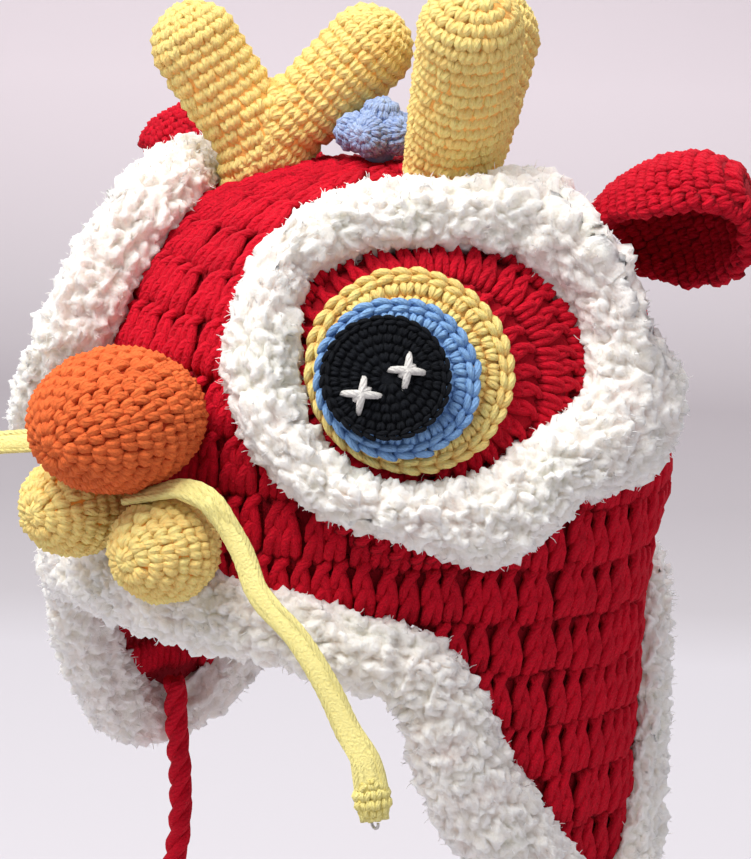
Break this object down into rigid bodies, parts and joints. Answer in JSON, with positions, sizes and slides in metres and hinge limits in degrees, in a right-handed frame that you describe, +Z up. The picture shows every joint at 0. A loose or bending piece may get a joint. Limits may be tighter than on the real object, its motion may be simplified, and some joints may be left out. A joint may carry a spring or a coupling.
{
  "type": "crochet dragon hat",
  "caption": "Crochet dragon hat with ear flaps, fleece trim, stacked disc eyes, stuffed nose, antlers, cupped ears, whiskers and ties.",
  "frame": {"origin": "middle of the head opening at the level of the front rim, where the wearer's head sits", "axes": "+Z up through the top of the crown, -Y out of the front of the hat past the nose, +X to the wearer's left"},
  "size_m": [0.2496, 0.2381, 0.4725],
  "materials": {
    "red_yarn": "matte",
    "white_fur": "matte",
    "yellow_yarn": "matte",
    "blue_yarn": "matte",
    "black_yarn": "matte",
    "orange_yarn": "matte",
    "pale_yarn": "matte",
    "wire": "satin"
  },
  "bodies": {
    "root": {"antler_left": "yellow_yarn", "antler_right": "yellow_yarn", "crown": "red_yarn", "ear_left": "red_yarn", "ear_right": "red_yarn", "eye_black_left": "black_yarn", "eye_black_right": "black_yarn", "eye_blue_left": "blue_yarn", "eye_blue_right": "blue_yarn", "eye_fur_left": "white_fur", "eye_fur_right": "white_fur", "eye_patch_left": "red_yarn", "eye_patch_right": "red_yarn", "eye_yellow_left": "yellow_yarn", "eye_yellow_right": "yellow_yarn", "lip_ball_left": "yellow_yarn", "lip_ball_right": "yellow_yarn", "nose": "orange_yarn", "rim_fur": "white_fur", "tie_knot_left": "red_yarn", "tie_knot_right": "red_yarn", "tie_left": "red_yarn", "tie_right": "red_yarn", "top_cloud": "blue_yarn", "whisker_left": "pale_yarn", "whisker_right": "pale_yarn", "whisker_wire_left": "wire", "whisker_wire_right": "wire"}
  },
  "joints": []
}
